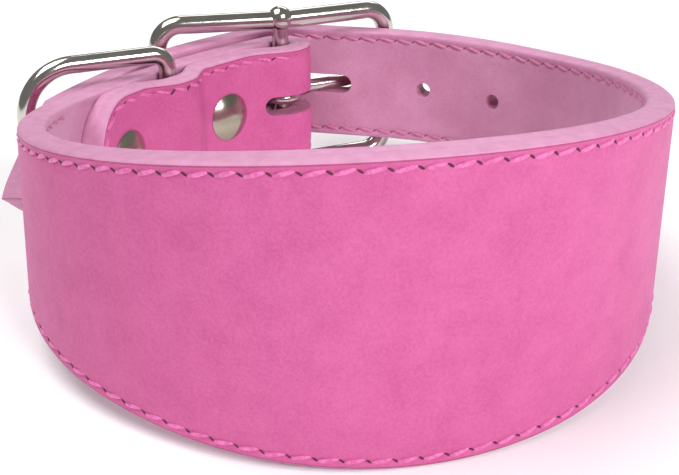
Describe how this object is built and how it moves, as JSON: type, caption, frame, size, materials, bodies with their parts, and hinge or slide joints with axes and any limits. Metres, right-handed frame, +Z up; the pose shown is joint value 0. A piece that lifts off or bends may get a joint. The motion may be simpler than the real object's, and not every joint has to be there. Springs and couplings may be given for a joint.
{
  "type": "dog collar",
  "caption": "Wide tapered leather dog collar with suede lining and stitched edges, closed by a centre-bar buckle, with a D-ring held in its folded end by rivets.",
  "frame": {"origin": "centre of the bounding box in plan, at table height", "axes": "+Z up as the closed collar stands on a table, -Y towards the wide front panel, +Y towards the buckle, +X towards the free-end side of the buckle"},
  "size_m": [0.12, 0.1264, 0.0517],
  "materials": {
    "outer_leather": "fine-grained pink leather, satin",
    "lining": "lilac-pink suede, matt",
    "thread": "twisted sewing thread",
    "plated_metal": "polished warm grey plating",
    "rivet_metal": "polished warm grey plating"
  },
  "bodies": {
    "strap": {"outer_leather": "outer_leather", "lining": "lining", "stitching_top": "thread", "stitching_bottom": "thread", "stitching_fold": "thread", "rivet_1_cap": "rivet_metal", "rivet_1_post": "rivet_metal", "rivet_2_cap": "rivet_metal", "rivet_2_post": "rivet_metal"},
    "buckle": {"buckle_frame": "plated_metal", "centre_bar": "plated_metal"},
    "prong": {"prong": "plated_metal"},
    "d_ring": {"d_ring": "plated_metal"}
  },
  "joints": [
    {"name": "buckle_rock", "type": "hinge", "parent": "strap", "child": "buckle", "pos_m": [-0.01078, 0.04697, 0.01951], "axis": [0, 0.0489, 0.9988], "range_deg": [-0.5, 1.5]},
    {"name": "prong_lift", "type": "hinge", "parent": "buckle", "child": "prong", "pos_m": [-0.01078, 0.04697, 0.01951], "axis": [0, 0.0489, 0.9988], "range_deg": [0, 20]},
    {"name": "d_ring_swing", "type": "hinge", "parent": "strap", "child": "d_ring", "pos_m": [-0.03228, 0.0232, 0.02077], "axis": [0, -0.0489, -0.9988], "range_deg": [0, 70]}
  ]
}
